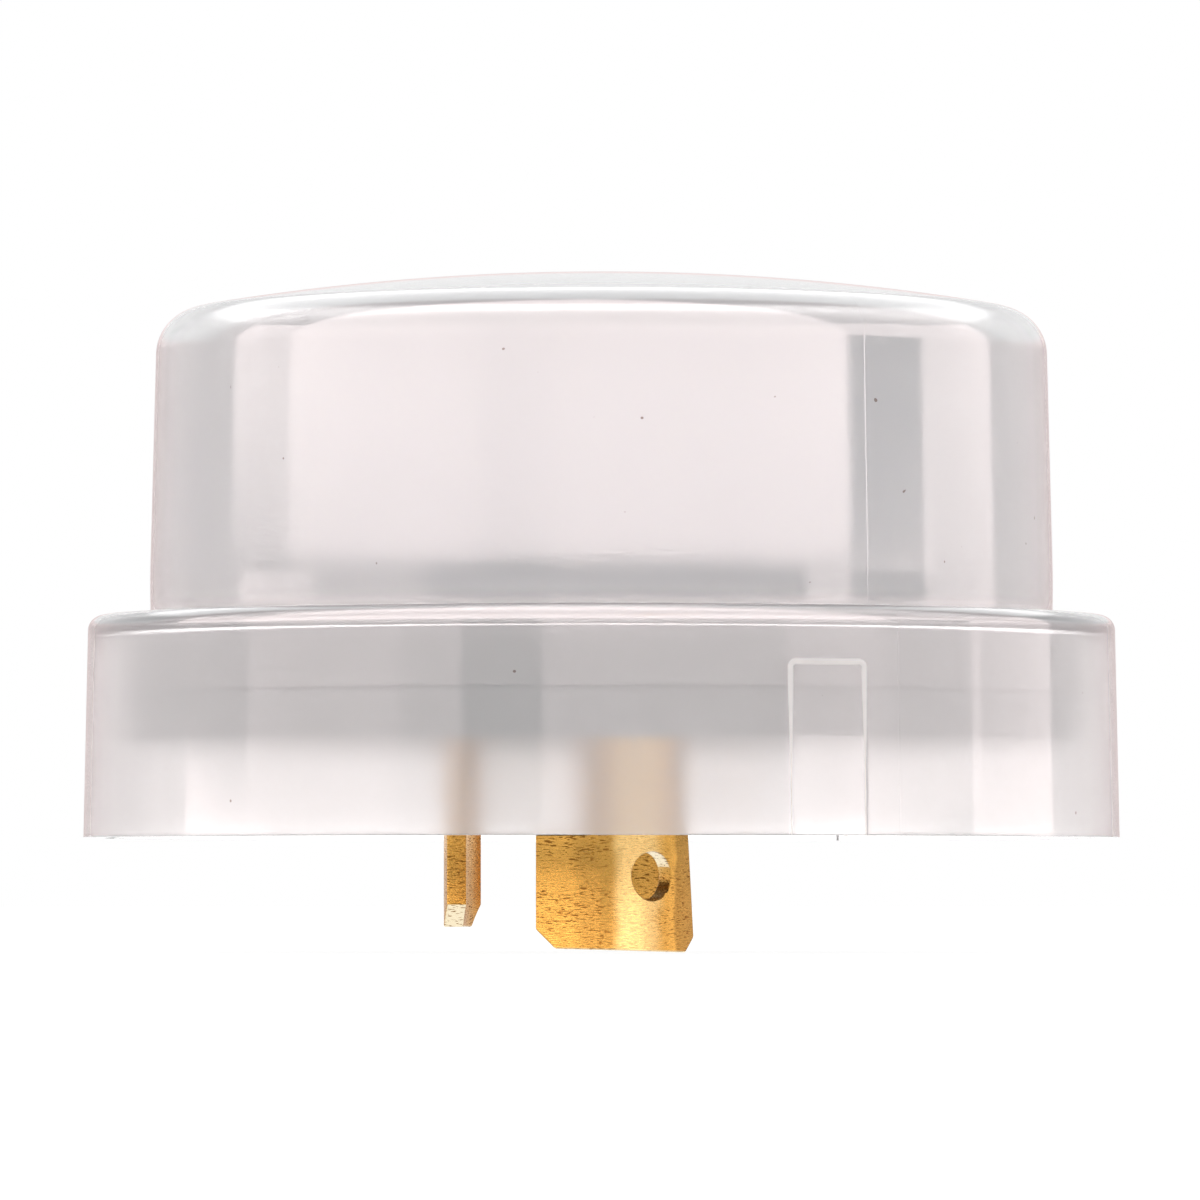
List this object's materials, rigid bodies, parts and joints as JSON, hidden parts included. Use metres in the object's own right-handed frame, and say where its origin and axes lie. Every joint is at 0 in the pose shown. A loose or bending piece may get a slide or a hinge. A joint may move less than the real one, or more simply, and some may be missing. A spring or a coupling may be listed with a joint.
{
  "type": "photocell shorting cap",
  "caption": "Round translucent shorting cap with a stepped cover, foam gasket and brass twist-lock blades, for closing the circuit of a photocell receptacle.",
  "frame": {"origin": "on the axis of the cap, in the plane of the gasket's underside, which meets the receptacle", "axes": "+Z along the axis towards the dome, -Y towards the side with the neutral blade and its hook"},
  "size_m": [0.084, 0.084, 0.0549],
  "materials": {
    "cover": "injection-moulded natural polypropylene, milky and translucent",
    "base": "moulded grey polyester",
    "gasket": "closed-cell foam rubber",
    "blade": "stamped rolled strip",
    "link": "stamped rolled strip",
    "rivet": "headed wire"
  },
  "bodies": {
    "root": {"cover": "cover", "base": "base", "gasket": "gasket", "neutral_blade": "blade", "line_blade": "blade", "load_blade": "blade", "shorting_link": "link", "neutral_rivet": "rivet", "line_rivet": "rivet", "load_rivet": "rivet"}
  },
  "joints": []
}
